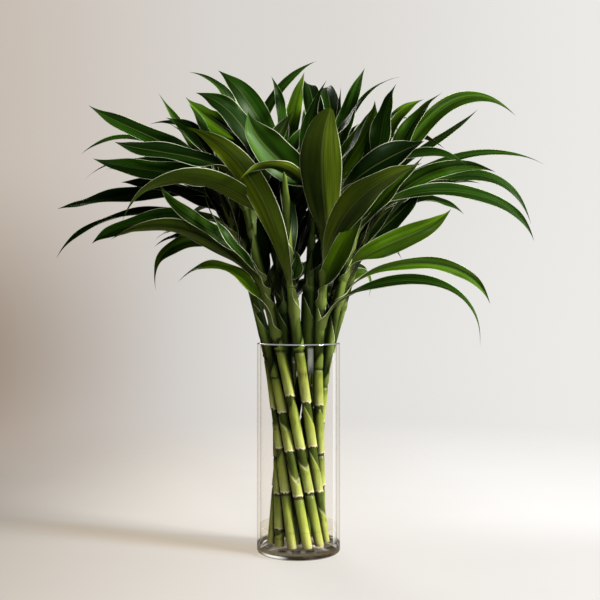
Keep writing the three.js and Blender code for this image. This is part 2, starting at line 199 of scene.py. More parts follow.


# Clear glass or water: it refracts in the foot and the rim, and mirrors a share of what a bare surface would. In
# the thin wall between them light goes straight through, tinted more toward the outline, where the layer weight
# (one minus a cosine) is high. Painted glints, highlights in place of mirrored softboxes, are given off as light at
# the front. Rays that only carry light pass straight through.
def clearMaterial(name, look):
    made, tree = newMaterial(name)
    place = addNode(tree, "ShaderNodeTexCoord").outputs["Object"]
    aside, ahead, height = addNode(tree, "ShaderNodeSeparateXYZ", Vector=place).outputs
    low, full, fade, wall = look["footOver"]
    isFoot = addMath(tree, "MULTIPLY", addStep(tree, height, low, full), addStep(tree, height, wall, fade))
    isRim = addStep(tree, height, look["rim"], look["rim"] + clear["rimSoft"])
    tint = addMix(tree, isFoot, look["tint"], look["foot"])
    tint = addMix(tree, isRim, tint, tuple(look["rimTint"] * c for c in look["tint"]))
    waves = addNoise(tree, 3 * (clear["wavesPerMetre"],), 2.0)
    bump = addNode(tree, "ShaderNodeBump", Height=waves, Strength=look["uneven"], Distance=clear["waveHeight"])
    bump = bump.outputs[0]
    through = addNode(tree, "ShaderNodeBsdfRefraction", Color=tint, Normal=bump)
    through.inputs["IOR"].default_value = look["bend"]
    through.inputs["Roughness"].default_value = 0.0
    glance = addNode(tree, "ShaderNodeLayerWeight", Blend=0.5).outputs["Facing"]
    rimmed = addMix(tree, addStep(tree, glance, clear["edgeFrom"], clear["edgeFull"]), tint, look["edge"])
    straight = addNode(tree, "ShaderNodeBsdfTransparent", Color=rimmed)
    isWall = addMath(tree, "MULTIPLY", addStep(tree, height, fade, wall), addMath(tree, "SUBTRACT", 1.0, isRim))
    body = addShaders(tree, isWall, through.outputs[0], straight.outputs[0])
    mirror = addNode(tree, "ShaderNodeBsdfGlossy", Normal=bump)
    mirror.inputs["Roughness"].default_value = 0.0
    edgeOn = addNode(tree, "ShaderNodeFresnel", Normal=bump)
    edgeOn.inputs["IOR"].default_value = look["bend"]
    steep = addMath(tree, "POWER", glance, clear["edgePower"])
    wallShine = addMath(tree, "MULTIPLY_ADD", steep, clear["edgeShine"], clear["wallShine"])
    isMirror = addMath(tree, "MULTIPLY_ADD", isWall, addMath(tree, "SUBTRACT", wallShine, edgeOn.outputs[0]),
                       edgeOn.outputs[0])
    isMirror = addMath(tree, "MAXIMUM", isMirror, addMath(tree, "MULTIPLY", isRim, clear["rimShine"]))
    shining = addShaders(tree, addMath(tree, "MULTIPLY", isMirror, look["shine"]), body, mirror.outputs[0])
    # Painted highlights: the glass gives off light where the glints are, on its front.
    paintedGlint = addNode(tree, "ShaderNodeEmission", Color=clear["paintedGlint"])
    isFront = addStep(tree, ahead, clear["frontFrom"], clear["frontFull"])
    share = 0.0
    for left, right, bottom, top, softAside, softUp, strength in look["glints"]:
        wide = addMath(tree, "MULTIPLY", addStep(tree, aside, left, left + softAside),
                       addStep(tree, aside, right, right - softAside))
        high = addMath(tree, "MULTIPLY", addStep(tree, height, bottom, bottom + softUp),
                       addStep(tree, height, top, top - softUp * clear["glintTop"]))
        share = addMath(tree, "MULTIPLY_ADD", addMath(tree, "MULTIPLY", wide, high), strength, share)
    withPaintedGlints = addShaders(tree, addMath(tree, "MULTIPLY", share, isFront), shining, paintedGlint.outputs[0])
    path = addNode(tree, "ShaderNodeLightPath")
    isLight = addMath(tree, "MAXIMUM", path.outputs["Is Shadow Ray"], path.outputs["Is Diffuse Ray"])
    finishMaterial(tree, addShaders(tree, isLight, withPaintedGlints, straight.outputs[0]))
    return made


vase = {
    "radius": 50, "height": 250, "wall": 3.5, "floor": 10, "foot": 2, "columns": 144,
    "hollow": [(20, 0.9), (30, 0.9), (38, 0.55)], "footStep": 2, "footShare": 0.6, "corner": 4,
    "outsideAt": [20, 60, 120, 180, 225], "insideAt": [225, 180, 120, 60, 24], "floorAt": [30, 16],
    "look": {
        # The foot's brown tint is painted shade and painted reflection of the dark canes in the thick glass.
        "tint": (0.985, 0.977, 0.967), "foot": (0.46, 0.38, 0.22), "edge": (0.86, 0.84, 0.80), "rimTint": 0.74,
        "footOver": (0.0015, 0.003, 0.006, 0.0115), "rim": 0.2482, "bend": 1.5, "shine": 0.6, "uneven": 0.0,
        # Painted glints: a bright arc low on the foot, a softbox's reflection near the top, a bright band down the
        # right side, and the bright front of the rim.
        "glints": [
            (-0.048, -0.010, 0.0012, 0.0045, 0.016, 0.0012, 0.9),
            (0.010, 0.018, 0.212, 0.247, 0.002, 0.02, 0.11),
            (0.0400, 0.0462, 0.012, 0.240, 0.0012, 0.01, 0.8),
            (-0.06, 0.06, 0.2482, 0.252, 0.004, 0.0008, 0.28),
        ],
    },
}


# The vase is an outline turned round: a hollow under the foot, a rounded foot, a straight wall, a half round rim
# as wide as the wall, and inside it a rounded corner down to the thick floor.
def makeVase(material):
    radius, height, wall, floor, foot = (vase[k] for k in ("radius", "height", "wall", "floor", "foot"))
    inner, rim, bowl = radius - wall, wall / 2, vase["corner"]
    step = foot * vase["footShare"]
    outline = vase["hollow"] + corner(radius - foot - vase["footStep"], step, step, 250, 270, 3)
    outline += corner(radius - foot, foot, foot, -90, 0)
    outline += [(radius, z) for z in vase["outsideAt"]]
    outline += corner(radius - rim, height - rim, rim, 0, 180, 10)
    outline += [(inner, z) for z in vase["insideAt"]]
    outline += corner(inner - bowl, floor + bowl, bowl, 0, -90, 8)
    outline += [(r, floor) for r in vase["floorAt"]]
    addPiece(lathe("vaseGlass", outline, vase["columns"]), material, "glass", "vase_glass")


water = {
    "surface": 30, "into": 0.1, "corner": 4, "columns": 120, "floorAt": [16, 34], "surfaceAt": [34, 14],
    "climb": 1.6, "climbReach": 1.1, "climbAt": [0.4, 0.9, 1.6, 2.6, 4.0],
    "look": {
        "tint": (0.965, 0.955, 0.90), "foot": (0.965, 0.955, 0.90), "edge": (0.93, 0.92, 0.87), "rimTint": 1.0,
        "footOver": (0.0, 0.001, 0.002, 0.003), "rim": 1.0, "bend": 1.03, "shine": 0.6, "uneven": 0.03,
        "glints": [],
    },
}


# The pool is an outline turned round. It reaches a hair into the glass, and its surface climbs at the glass by an
# exponential that falls off inward.
def makeWater(material):
    radius, bowl = vase["radius"] - vase["wall"] + water["into"], water["corner"]
    floor, surface = vase["floor"] - water["into"], water["surface"]
    outline = [(r, floor) for r in water["floorAt"]]
    outline += corner(radius - bowl, floor + bowl, bowl, -90, 0, 8)
    outline += [(radius, surface - bowl), (radius, surface + water["climb"])]
    outline += [(radius - s, surface + water["climb"] * math.exp(-s / water["climbReach"]))
                for s in water["climbAt"]]
    outline += [(r, surface) for r in water["surfaceAt"]]
    addPiece(lathe("water", outline, water["columns"]), material, "water", "water")


# The bunch has an outer and an inner ring of stalks. A stalk strays from its even place by up to half of so many
# degrees at the rim and at the bottom, and stands so many millimetres further in.
rings = [
    {"count": 11, "start": -90, "twist": 85, "bottom": 33, "rim": 38, "flare": 52, "lip": 6.2, "top": 440},
    {"count": 4, "start": -60, "twist": 40, "bottom": 11.5, "rim": 17, "flare": 24, "lip": 5.7, "top": 455},
]
stray = {"rim": 7, "bottom": 12, "inward": 2, "seed": 60}
lean = {"easesOver": 200, "flareFrom": 190, "flareOver": 260}


# Numbers between 0 and 1 from a linear congruence started from the two counts, as the CAD draws them.
def draws(stalk, leaf):
    state = (stalk * 977 + leaf * 131 + 17) % 2 ** 32
    while True:
        state = (state * 1664525 + 1013904223) % 2 ** 32
        yield state / 2 ** 32


# A stalk starts on a ring at the vase's floor and leans round the bunch to a ring at the rim, by a twist in
# degrees, each a little astray. Its top joint and the length of its joints go through five steps in turn.
def makeStalks():
    stalks = []
    for ring in rings:
        for i in range(ring["count"]):
            draw = draws(ring["count"] + i, stray["seed"])
            even = ring["start"] + i * 360 / ring["count"]
            angle = even + stray["rim"] * (next(draw) - 0.5)
            inward = stray["inward"] * next(draw)
            across = even + ring["twist"] + stray["bottom"] * (next(draw) - 0.5)
            number = len(stalks)
            stalks.append({
                **ring,
                "number": number,
                "angle": angle,
                "bottomAt": polar(ring["bottom"] - inward, across),
                "rimAt": polar(ring["rim"], angle),
                "outward": polar(1, angle),
                "joint": cane["joint"] + cane["jointStep"] * ((number * 3 + 4) % 5),
                "pitch": cane["pitch"] + cane["pitchStep"] * (number * 7 % 5),
            })
    return stalks


# Axis of a stalk: straight to the rim, then it stops going round, and flares outward by a square law.
def axisAt(stalk, z):
    z = np.atleast_1d(np.asarray(z, float))
    over = np.clip((z - vase["height"]) / lean["easesOver"], 0, 1)
    rise = vase["height"] - vase["floor"]
    eased = 1 + lean["easesOver"] / rise * (over - over * over / 2)
    along = np.where(z < vase["height"], (z - vase["floor"]) / rise, eased)
    flare = stalk["flare"] * np.maximum((z - lean["flareFrom"]) / lean["flareOver"], 0) ** 2
    across = np.outer(along, stalk["rimAt"] - stalk["bottomAt"]) + np.outer(flare, stalk["outward"])
    return np.column_stack([stalk["bottomAt"] + across, z])


# Cosine of the angle between a stalk's side and the way out of the bunch: 1 on the outside, -1 on the inside.
def outwardness(stalk, heights, turn):
    centre = axisAt(stalk, heights.ravel())[:, :2].reshape(*heights.shape, 2)
    return np.cos(turn - np.arctan2(centre[..., 1], centre[..., 0]))


# A lip row is its share of the ragged wave, height, reach outward, share of the rise, and lip mark.
cane = {
    "neck": 0.8, "joint": 200, "jointStep": 11, "pitch": 59, "pitchStep": -4, "shift": 9, "columns": 40,
    "gap": 0.3, "innerWider": 1.2, "roomShare": 1.2, "ragged": 1.4, "waves": (2, 5, 9, 13), "waveSize": (0.2, 0.6),
    "lipRows": [(1, 0, -0.7, 0, 1), (1, 0.05, 0, 0, 1), (0.7, 1.5, 0.05, 0, 1), (0.5, 2.3, 0, 0.02, 0)],
    "skinFrom": 2.6, "skinRows": (0.1, 0.2, 0.32, 0.44, 0.56, 0.68, 0.8, 0.9, 1.0), "skinTop": 0.45,
    "cutSkin": 0.35, "skinEnds": [0.3, 0.55, 0.93], "skinChances": [0.2, 0.25, 0.55], "skinPeak": 0.95,
    "peakPower": 1.3,
    "scarAt": (0.42, 0.62), "scarWidth": 0.5, "coreRows": (0.15, 0.4, 0.7, 1.0), "coreIn": 0.1,
    "innerShade": 0.9, "outerTone": 0.5,
    "look": {
        "low": (0.465, 0.515, 0.145), "middle": (0.315, 0.375, 0.06), "high": (0.12, 0.17, 0.018),
        "inner": (0.048, 0.074, 0.006), "innerLow": (0.17, 0.21, 0.025), "lip": (0.78, 0.70, 0.46),
        "scar": (0.09, 0.065, 0.02), "shadeAndTone": (0.13, 0.18, 0.08), "gap": (0.012, 0.016, 0.004),
        "streaks": (420.0, 420.0, 14.0), "clouds": (60.0, 60.0, 30.0), "scarShare": 0.8, "gapShadeShare": 0.85,
        "lowSpan": (0.0, 0.55), "highSpan": (0.5, 1.1), "innerSpan": (0.15, 0.75), "gapShadeSpan": (0.7, -0.25),
        "rough": 0.22, "streakRough": 0.25, "lipRough": 0.4, "bump": 0.25, "bumpHeight": 0.0004, "specular": 0.16,
    },
}


# Cane: yellow-green over each lip, greener upward, dark green where the skin has ended and darkest just under the
# next lip as painted shade, with cream ragged lips and fine streaks. Painted shade darkens the side that faces into
# the bunch and the whole inner ring.
def caneMaterial():
    look = cane["look"]
    made, tree = newMaterial("cane")
    rise, sheath, lip, ringMark = (addNumber(tree, n) for n in ("rise", "sheath", "lip", "ringMark"))
    outer = addMix(tree, addStep(tree, rise, *look["lowSpan"]), look["low"], look["middle"])
    outer = addMix(tree, addStep(tree, rise, *look["highSpan"]), outer, look["high"])
    # Where the skin has ended: darker green, darkest just under the next lip, which is painted shade.
    inner = addMix(tree, addStep(tree, rise, *look["innerSpan"]), look["innerLow"], look["inner"])
    colour = addMix(tree, sheath, inner, outer)
    streak = addNoise(tree, look["streaks"], 4.0)
    cloud = addNoise(tree, look["clouds"], 2.0)
    shade = addMath(tree, "MULTIPLY_ADD", streak, 0.9, addMath(tree, "MULTIPLY_ADD", cloud, 0.9, 0.1))
    colour = addMix(tree, 1.0, colour, addGrey(tree, shade), "MULTIPLY")
    colour = addMix(tree, addMath(tree, "MULTIPLY", ringMark, look["scarShare"]), colour, look["scar"])
    colour = addMix(tree, lip, colour, look["lip"])
    # Painted shade darkens the inner ring as a whole; each outer cane gets a random tone.
    colour = addMix(tree, addNumber(tree, "depth"), colour, look["shadeAndTone"], "MULTIPLY")
    # Painted shade on the side that faces into the bunch, toward the near-black gap colour.
    paintedShade = addStep(tree, addNumber(tree, "outward"), *look["gapShadeSpan"])
    colour = addMix(tree, addMath(tree, "MULTIPLY", paintedShade, look["gapShadeShare"]), colour, look["gap"])
    rough = addMath(tree, "MULTIPLY_ADD", streak, look["streakRough"], look["rough"])
    rough = addMath(tree, "MULTIPLY_ADD", lip, look["lipRough"], rough)
    bump = addNode(tree, "ShaderNodeBump", Height=streak, Strength=look["bump"], Distance=look["bumpHeight"])
    skin = addNode(tree, "ShaderNodeBsdfPrincipled", Base_Color=colour, Roughness=rough, Normal=bump.outputs[0])
    skin.inputs["Specular IOR Level"].default_value = look["specular"]
    finishMaterial(tree, skin.outputs[0])
    return made


# An inner cane is drawn wider than its solid by the room that the nearest outer cane leaves it on its way up, and
# a share more, because the lips of two canes seldom meet.
def widerBy(stalk, stalks):
    outer = stalks[:rings[0]["count"]]
    if stalk["number"] < len(outer):
        return 0
    heights = np.linspace(vase["floor"], stalk["joint"], 60)
    apart = [np.linalg.norm(axisAt(stalk, heights) - axisAt(other, heights), axis=1).min() for other in outer]
    room = min(apart) - stalk["lip"] - outer[0]["lip"]
    return min(room * cane["roomShare"], cane["innerWider"])


# A cane is a stack of internodes round its axis. Each is widest at its ragged lower lip, narrows by a smooth step,
# and its skin ends in a slanting edge over the greener core, highest on one side. A row holds height, radius,
# rise, sheath, lip and ring mark for each column.
def makeCane(stalk, wider, material):
    columns = cane["columns"]
    turn = np.arange(columns) * math.tau / columns
    rng = np.random.default_rng(100 + stalk["number"])
    isInner = stalk["number"] >= rings[0]["count"]
    lip = stalk["lip"] + wider
    neck = lip - cane["neck"]
    lips = np.arange(stalk["joint"] - stalk["pitch"], vase["floor"] + cane["pitch"] / 4, -stalk["pitch"])[::-1]
    lips = lips + cane["shift"] * rng.uniform(-1, 1, len(lips))
    starts = [vase["floor"] + cane["gap"], *lips]
    ends = [*lips, stalk["joint"]]
    rows = []

    # One more row of points, each number the same for all columns or given for each.
    def addRow(z, radius, rise, sheath, lipMark, ringMark=0.0):
        values = (z, radius, rise, sheath, lipMark, ringMark)
        rows.append([np.broadcast_to(v, columns).astype(float) for v in values])

    # Sum of four sine waves round the cane, within about 1 either way.
    def ragged():
        size, phase = cane["waveSize"], (0, math.tau)
        return sum(rng.uniform(*size) * np.sin(k * turn + rng.uniform(*phase)) for k in cane["waves"])

    edges = [0.0 * turn] + [cane["ragged"] * ragged() for _ in lips]
    for i, (low, high) in enumerate(zip(starts, ends)):
        long = high - low
        wave = edges[i]
        isCut = i == 0
        peak = rng.uniform(0, math.tau)
        share = 1 - np.abs((turn - peak + math.pi) % math.tau - math.pi) / math.pi
        lowest = rng.choice(cane["skinEnds"], p=cane["skinChances"])
        reach = long * mix(lowest, cane["skinPeak"], share ** cane["peakPower"]) - 1.0
        mark = rng.uniform(*cane["scarAt"])
        if isCut:
            addRow(low, neck - 0.3, 0, 0, 1)  # the cut end, with its edge taken off
            addRow(low + 0.5, neck + 0.2, 0, 1, 0.4)
        else:
            for waveShare, up, out, rise, lipMark in cane["lipRows"]:
                addRow(low + wave * waveShare + up, lip + out, rise, 1, lipMark)
        for part in cane["skinRows"]:
            z = low + mix(wave * 0.5 + cane["skinFrom"], reach, part)
            rise = (z - low) / long
            isRing = np.exp(-((rise - mark) * long / cane["scarWidth"]) ** 2)
            radius = neck + cane["cutSkin"] if isCut else mix(lip, neck + cane["skinTop"], smooth(0, 1, rise))
            addRow(z, radius, rise, 1, 0, isRing)
        top = low + reach
        addRow(top + 0.15, neck + 0.05, (top - low) / long, 0, 0.25)  # the edge of the skin
        isLast = i + 1 == len(edges)
        for part in cane["coreRows"]:
            z = mix(top + 0.5, high - 0.8 + (0 if isLast else edges[i + 1]), part)
            addRow(z, neck - cane["coreIn"], (z - low) / long, 0, 0)
        if not isLast:
            addRow(high + edges[i + 1] + 0.4, neck - 0.4, 1, 0, 0)  # in under the next lip
    table = np.array(rows)
    height, radius = table[:, 0], table[:, 1]
    spots = axisAt(stalk, height.ravel()).reshape(*height.shape, 3)
    spots[..., 0] += radius * np.cos(turn)
    spots[..., 1] += radius * np.sin(turn)
    count = len(rows)
    faces = gridQuads(count, columns, closed=True).tolist()
    faces.append(list(range(columns))[::-1])
    faces.append(list(range((count - 1) * columns, count * columns)))
    numbers = {n: table[:, i].ravel() for i, n in enumerate(("rise", "sheath", "lip", "ringMark"), 2)}
    # Painted shade for the inner ring, a random tone for each outer cane.
    numbers["depth"] = np.full(height.size, cane["innerShade"] if isInner else rng.uniform(0, cane["outerTone"]))
    numbers["outward"] = outwardness(stalk, height, turn).ravel()
    label = f"stalk_{stalk['number'] + 1:02d}_cane"
    made = makeObject(f"cane{stalk['number'] + 1:02d}", spots.reshape(-1, 3), faces, numbers)
    addPiece(made, material, "cane", label)


# The CAD's own numbers for a leaf, which find it and shape it.
blade = {"thick": 0.8, "fold": 0.22, "clasp": 7, "claspUntil": 0.35, "tip": 0.6, "point": 1.25, "sunk": 1.5,
         "match": 0.15}


# The four points of the cubic that leaves the stalk along its axis, passes the middle and ends at the tip.
def midline(stalk, root, middle, tip):
    start = axisAt(stalk, root)[0]
    along = unit(axisAt(stalk, root + 2)[0] - axisAt(stalk, root - 2)[0])
    before = np.linalg.norm(middle - start)
    after = np.linalg.norm(middle - tip)
    m = before / (before + after)
    handle = start + along * (before + after) * 0.3
    bend = middle - (1 - m) ** 3 * start - 3 * (1 - m) ** 2 * m * handle - m ** 3 * tip
    return np.array([start, handle, bend / (3 * (1 - m) * m * m), tip])


# Points and unit tangents of a cubic at shares t.
def cubic(points, t):
    s = 1 - t
    spots = np.column_stack([s ** 3, 3 * s * s * t, 3 * s * t * t, t ** 3]) @ points
    slopes = np.column_stack([s * s, 2 * s * t, t * t]) @ np.diff(points, axis=0)
    return spots, unit(slopes)


# Upper side of an unturned blade: at right angles to its line, up and back over the stalk.
def plainNormals(points, t):
    middle = cubic(points, np.array([0.5]))[0][0]
    ahead = points[3] + middle - points[0]
    side = unit(np.cross([0, 0, 1], [ahead[0], ahead[1], 0]))
    return unit(np.cross(cubic(points, t)[1], side))


# Points, normals and sides along a leaf. Its turn to the front is the angle at its middle, eased in near the
# base, and a twist is added.
def framesOf(leaf, t, twist=0):
    points = leaf["points"]
    spots, tangents = cubic(points, t)
    plain = plainNormals(points, t)
    half = np.array([0.5])
    tangent = cubic(points, half)[1][0]
    upper = plainNormals(points, half)[0]
    front = np.array([0, -np.sign(leaf["turn"]), 0])
    front = front - front @ tangent * tangent
    toFront = math.atan2(np.cross(upper, front) @ tangent, upper @ front)
    angle = (abs(leaf["turn"]) * toFront * smooth(0.08, 0.45, t) + twist)[:, None]
    normals = plain * np.cos(angle) + np.cross(tangents, plain) * np.sin(angle)
    return spots, normals, np.cross(tangents, normals)


# A leaf's line from its stalk through its middle to its tip, with its own numbers.
def makeLeaf(stalk, root, middle, tip, width, widest, turn, tone, fold):
    return {
        "stalk": stalk, "root": root, "points": midline(stalk, root, middle, tip), "width": width,
        "widest": widest, "turn": turn, "tone": tone, "fold": fold,
    }


# Where the photograph was taken from: distance from the vase's axis and height.
sight = {"distance": 1115, "height": 300}
# Leaves in view, the nearest first: stalk, root height, middle and tip as (across, depth, up) on the plane of the
# vase's axis, width, share where it is widest, turn to the front (- underside), and tone from 0 dark to 1 bright,
# which holds the leaf's own green and painted light and shade.
sighted = [
    (1, 345, (28, -130, 470), (39, -160, 533), 46, 0.66, -0.95, 0.45),
    (0, 275, (-63, -115, 455), (-136, -95, 510), 28, 0.62, -0.8, 0.75),
    (11, 405, (-39, -75, 486), (-61, -85, 529), 42, 0.58, 0.9, 0.6),
    (11, 400, (-37, -115, 464), (-72, -135, 445), 16, 0.5, -0.5, 0.8),
    (0, 345, (-131, -125, 448), (-213, -125, 395), 25, 0.5, -0.5, 0.5),
    (1, 320, (77, -140, 427), (149, -145, 466), 33, 0.6, -0.8, 0.45),
    (1, 290, (57, -95, 370), (80, -100, 416), 26, 0.5, 0.8, 0.85),
    (0, 315, (-1, -75, 340), (-7, -85, 364), 14, 0.5, 0.9, 0.6),
    (10, 285, (-119, -75, 378), (-226, -80, 374), 25, 0.5, -0.5, 0.6),
    (10, 255, (-92, -70, 341), (-145, -60, 323), 20, 0.5, 0.5, 0.9),
    (1, 262, (146, -75, 324), (219, -100, 247), 16, 0.5, 0.5, 0.3),
    (2, 290, (152, -20, 345), (231, -20, 296), 17, 0.62, 0.7, 0.7),
    (2, 320, (131, -40, 378), (184, -40, 411), 27, 0.52, 0.9, 0.75),
    (1, 400, (108, -85, 472), (152, -80, 493), 34, 0.6, 0.75, 0.0),
    (11, 380, (15, -50, 512), (34, -55, 566), 24, 0.55, 0.85, 0.5),
    (11, 310, (36, -50, 374), (57, -50, 406), 22, 0.5, 0.6, 0.3),
    (10, 425, (-167, -75, 480), (-222, -80, 492), 26, 0.5, 0.6, 0.15),
    (10, 400, (-173, -60, 457), (-248, -70, 472), 28, 0.5, 0.7, 0.45),
    (9, 425, (-189, -30, 503), (-253, -30, 536), 26, 0.5, 0.7, 0.25),
    (9, 370, (-173, -25, 398), (-249, -20, 369), 27, 0.5, 0.6, 0.3),
    (10, 320, (-101, -80, 383), (-167, -60, 441), 18, 0.5, 0.7, 0.6),
    (10, 305, (-73, -85, 361), (-113, -70, 428), 14, 0.5, 0.6, 0.4),
    (9, 345, (-134, 0, 372), (-172, 0, 313), 20, 0.5, 0.8, 0.7),
    (8, 380, (-155, 10, 435), (-214, 20, 443), 22, 0.5, 0.5, 0.1),
    (8, 400, (-203, 20, 428), (-291, 20, 411), 25, 0.5, 0.6, 0.3),
    (8, 365, (-245, 30, 392), (-292, 30, 351), 16, 0.5, 0.4, 0.1),
    (7, 370, (-179, 80, 455), (-233, 90, 459), 20, 0.5, 0.4, 0.2),
    (7, 395, (-227, 60, 465), (-257, 60, 447), 16, 0.5, 0.4, 0.2),
    (8, 430, (-225, 50, 495), (-262, 50, 477), 14, 0.5, 0.4, 0.5),
    (8, 340, (-149, 40, 378), (-174, 40, 365), 14, 0.5, 0.4, 0.2),
    (14, 420, (-92, -35, 536), (-124, -35, 551), 30, 0.58, 0.7, 0.2),
    (14, 445, (-110, 0, 521), (-136, 0, 546), 32, 0.6, 0.8, 0.7),
    (9, 435, (-131, 0, 506), (-160, 0, 521), 26, 0.5, 0.6, 0.25),
    (13, 430, (-58, 10, 536), (-97, 10, 578), 32, 0.58, 0.8, 0.3),
    (7, 430, (-92, 60, 554), (-132, 60, 576), 20, 0.5, 0.4, 0.3),
    (8, 435, (-149, 60, 521), (-169, 60, 551), 16, 0.5, 0.6, 0.6),
    (7, 435, (-21, 80, 557), (21, 80, 589), 16, 0.5, 0.3, 0.4),
    (13, 450, (-21, 30, 528), (-33, 30, 571), 16, 0.5, 0.5, 0.5),
    (6, 435, (-5, 80, 533), (7, 80, 576), 22, 0.58, 0.8, 0.8),
    (8, 425, (-155, 90, 516), (-180, 90, 513), 14, 0.5, 0.4, 0.5),
    (12, 420, (77, -20, 494), (92, -25, 542), 34, 0.5, 0.9, 0.75),
    (12, 440, (62, 15, 536), (80, 15, 581), 22, 0.5, 0.7, 0.4),
    (2, 435, (104, -50, 524), (118, -50, 562), 26, 0.5, 0.7, 0.5),
    (5, 435, (86, 80, 552), (122, 80, 570), 12, 0.5, 0.3, 0.4),
    (12, 450, (49, 40, 528), (51, 40, 558), 10, 0.5, 0.3, 0.4),
    (4, 430, (114, 50, 516), (151, 50, 543), 25, 0.5, 0.7, 0.8),
    (3, 430, (140, 0, 518), (173, 0, 551), 22, 0.5, 0.7, 0.6),
    (3, 390, (216, 10, 546), (262, 10, 523), 22, 0.5, 0.8, 0.65),
    (4, 400, (171, 60, 496), (216, 60, 531), 13, 0.5, 0.5, 0.2),
    (2, 355, (110, -60, 431), (151, -50, 475), 18, 0.5, 0.6, 0.7),
    (3, 340, (125, 15, 410), (151, 15, 442), 28, 0.5, 0.8, 0.05),
    (4, 370, (183, 50, 470), (295, 50, 465), 15, 0.5, 0.6, 0.4),
    (3, 370, (171, -10, 458), (238, -15, 455), 22, 0.5, 0.8, 0.6),
    (2, 375, (204, -40, 430), (284, -40, 372), 20, 0.5, 0.6, 0.4),
    (4, 340, (233, 70, 448), (280, 70, 393), 16, 0.62, 0.8, 0.5),
    (4, 300, (79, 50, 334), (85, 50, 305), 14, 0.5, 0.7, 0.8),
]
# Moves along the line of sight that the CAD tries in turn, to keep a leaf clear.
slides = [0, 12, -12, 24, -24, 36, -36, 50, -50, 65, -65]


# A point seen at (across, up) on the plane of the axis, moved along the line of sight to its depth.
def sightedPoint(spot, slide):
    across, depth, up = spot
    scale = (sight["distance"] + depth + slide) / sight["distance"]
    return np.array([across * scale, depth + slide, sight["height"] + (up - sight["height"]) * scale])


# Filling leaves, one after another down a stalk. Every other one is upright. Swings are tried in turn.
fill = {"leaves": 14, "least": 7, "lowest": 275, "belowTop": 8, "golden": 137.5, "waver": 40, "inward": 0.45}
spreading = {"length": 165, "longer": 60, "lean": 28, "leanLower": 42, "droop": 30, "droopMore": 25,
             "width": 22, "wider": 12}
upright = {"length": 150, "longer": 60, "lean": 10, "leanLower": 16, "droop": 10, "droopMore": 16,
           "width": 24, "wider": 10}
swings = [0, 25, -25, 50, -50, 75, -75, 100, -100, 130, -130, 160]


# A filling leaf turns by the golden angle from the last. It leans more the lower it is rooted, less if it points
# into the bunch, and droops past its middle.
def fillingLeaf(stalk, place, count, swing):
    shape = upright if place % 2 else spreading
    draw = draws(stalk["number"], place)
    azimuth = stalk["angle"] + fill["golden"] * place + fill["waver"] * (next(draw) - 0.5) + swing
    ahead = polar(1, azimuth)
    lower = place / count
    inward = fill["inward"] if ahead @ stalk["outward"] < 0 else 1
    leanBy = (shape["lean"] + shape["leanLower"] * lower) * inward
    droop = leanBy + shape["droop"] + shape["droopMore"] * next(draw)
    half = (shape["length"] + shape["longer"] * next(draw)) / 2
    root = stalk["top"] - fill["belowTop"] - (stalk["top"] - fill["lowest"]) * lower

    # Half the leaf's length, at an angle from upright: its sine ahead and its cosine up.
    def step(degrees):
        out, up = math.sin(math.radians(degrees)), math.cos(math.radians(degrees))
        return half * np.array([ahead[0] * out, ahead[1] * out, up])

    middle = axisAt(stalk, root)[0] + step(leanBy)
    width = shape["width"] + shape["wider"] * next(draw)
    return makeLeaf(stalk, root, middle, middle + step(droop), width, 0.5, 0.2, 0.5 * next(draw), 0)


# The CAD's own leaf is the choice whose four tip corners are vertices of its node.
def isInNode(leaf, vertices):
    spots, normals, sides = framesOf(leaf, np.array([1.0]))
    across = np.array([-1, 1, 1, -1])[:, None] * blade["tip"]
    raised = np.array([1, 1, -1, -1])[:, None] * blade["thick"] / 2 + blade["tip"] * leaf["fold"]
    corners = spots + sides * across + normals * raised
    gaps = np.linalg.norm(vertices[None] - corners[:, None], axis=2).min(axis=1)
    return gaps.max() < blade["match"]


# The vertices of a CAD node in millimetres.
def nodeVertices(name):
    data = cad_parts[name].data
    found = np.empty(len(data.vertices) * 3, np.float32)
    data.vertices.foreach_get("co", found)
    return found.reshape(-1, 3).astype(float) / mm


# Of each leaf's choices, the one that the CAD kept. Filling leaves follow those in view.
def findLeaves(stalks):
    corners = [nodeVertices(f"stalk_{s['number'] + 1:02d}_leaves") for s in stalks]
    leaves = [[] for _ in stalks]
    for number, root, middle, tip, width, widest, turn, tone in sighted:
        for slide in slides:
            middleAt, tipAt = sightedPoint(middle, slide), sightedPoint(tip, slide)
            leaf = makeLeaf(stalks[number], root, middleAt, tipAt, width, widest, turn, tone, blade["fold"])
            if isInNode(leaf, corners[number]):
                leaves[number].append(leaf)
                break
    shown = sum(len(own) for own in leaves)
    for stalk in stalks:
        own = leaves[stalk["number"]]
        count = max(fill["leaves"] - sum(row[0] == stalk["number"] for row in sighted), fill["least"])
        for place in range(count):
            for swing in swings:
                leaf = fillingLeaf(stalk, place, count, swing)
                if isInNode(leaf, corners[stalk["number"]]):
                    own.append(leaf)
                    break
    print("leaves found:", shown, "of", len(sighted), "in view,", sum(len(own) for own in leaves), "in all")
    return leaves


